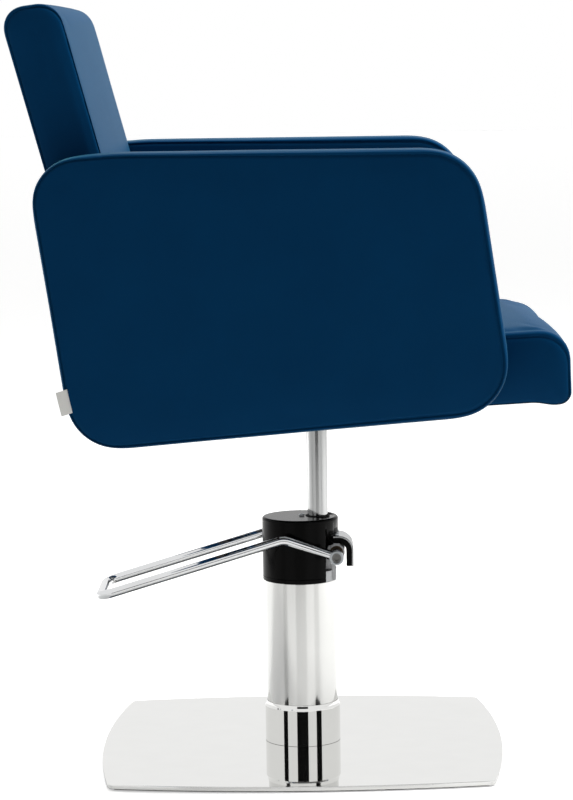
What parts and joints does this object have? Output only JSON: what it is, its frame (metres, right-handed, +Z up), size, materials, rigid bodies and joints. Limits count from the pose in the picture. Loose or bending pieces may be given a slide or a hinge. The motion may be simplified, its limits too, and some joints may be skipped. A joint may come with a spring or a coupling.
{
  "type": "hairdressing chair",
  "caption": "Upholstered hairdressing chair with block arms on a foot-pumped hydraulic column with a square floor plate.",
  "frame": {"origin": "on the floor under the axis of the pump column", "axes": "+X is the sitter's front, +Y the sitter's left and +Z up"},
  "size_m": [0.6724, 0.588, 0.9472],
  "materials": {
    "upholstery": "satin",
    "tab_cloth": "matte",
    "polished_steel": "polished",
    "satin_steel": "satin",
    "ground_steel": "satin",
    "cast_metal": "matte",
    "zinc_steel": "satin",
    "bronze": "satin",
    "black_plastic": "satin",
    "black_rubber": "matte",
    "plywood": "matte"
  },
  "bodies": {
    "base": {"floor_pad": "black_rubber", "base_plate": "polished_steel", "base_bolt_1": "zinc_steel", "base_bolt_2": "zinc_steel", "base_bolt_3": "zinc_steel", "base_bolt_4": "zinc_steel", "pump_body": "cast_metal", "column_sleeve": "satin_steel", "foot_collar": "polished_steel", "head_cap": "black_plastic", "cap_screw": "zinc_steel", "rod_bush": "bronze", "rod_wiper": "black_rubber", "lever_hood": "satin_steel", "hood_screw_right": "zinc_steel", "hood_screw_left": "zinc_steel", "pivot_bush_right": "bronze", "pivot_bush_left": "bronze", "plunger_spring": "zinc_steel"},
    "pedal": {"pedal_lever": "ground_steel", "pivot_shaft": "ground_steel", "rocker_arm": "cast_metal", "pivot_bolt_right": "zinc_steel", "pivot_bolt_left": "zinc_steel"},
    "plunger": {"pump_plunger": "ground_steel"},
    "piston": {"piston_head": "zinc_steel", "piston_seal": "black_rubber", "thrust_bearing": "ground_steel"},
    "seat": {"arm_left_bolt_1": "zinc_steel", "arm_left_bolt_2": "zinc_steel", "arm_left_core": "plywood", "arm_left_lining": "upholstery", "arm_left_pad": "upholstery", "arm_right_bolt_1": "zinc_steel", "arm_right_bolt_2": "zinc_steel", "arm_right_core": "plywood", "arm_right_lining": "upholstery", "arm_right_pad": "upholstery", "back_board": "plywood", "back_bolt_left": "zinc_steel", "back_bolt_right": "zinc_steel", "back_bracket_left": "zinc_steel", "back_bracket_right": "zinc_steel", "back_cushion": "upholstery", "hub_screw": "zinc_steel", "label_tab": "tab_cloth", "mount_bolt_1": "zinc_steel", "mount_bolt_2": "zinc_steel", "mount_bolt_3": "zinc_steel", "mount_bolt_4": "zinc_steel", "mount_plate": "zinc_steel", "piston_rod": "ground_steel", "seat_board": "plywood", "seat_cushion": "upholstery", "seat_hub": "cast_metal", "seat_rail_front": "plywood", "seat_rail_left": "plywood", "seat_rail_rear": "plywood", "seat_rail_right": "plywood"}
  },
  "joints": [
    {"name": "seat_lift", "type": "slide", "parent": "base", "child": "piston", "axis": [0, 0, 1], "range_m": [-0.105, 0.045]},
    {"name": "seat_swivel", "type": "hinge", "parent": "piston", "child": "seat", "pos_m": [0.0225, 0, 0.45], "axis": [0, 0, 1], "continuous": true},
    {"name": "pedal_press", "type": "hinge", "parent": "base", "child": "pedal", "pos_m": [0.046, 0, 0.2523], "axis": [0, -1, 0], "range_deg": [0, 22], "stiffness_Nm_per_rad": 6, "springref_deg": -22.92},
    {"name": "plunger_stroke", "type": "slide", "parent": "base", "child": "plunger", "axis": [0, 0, -1], "range_m": [0, 0.0125], "deforming": ["plunger_spring"]}
  ],
  "couplings": [
    {"joint": "plunger_stroke", "follows": "pedal_press", "m_per_rad": 0.03}
  ]
}
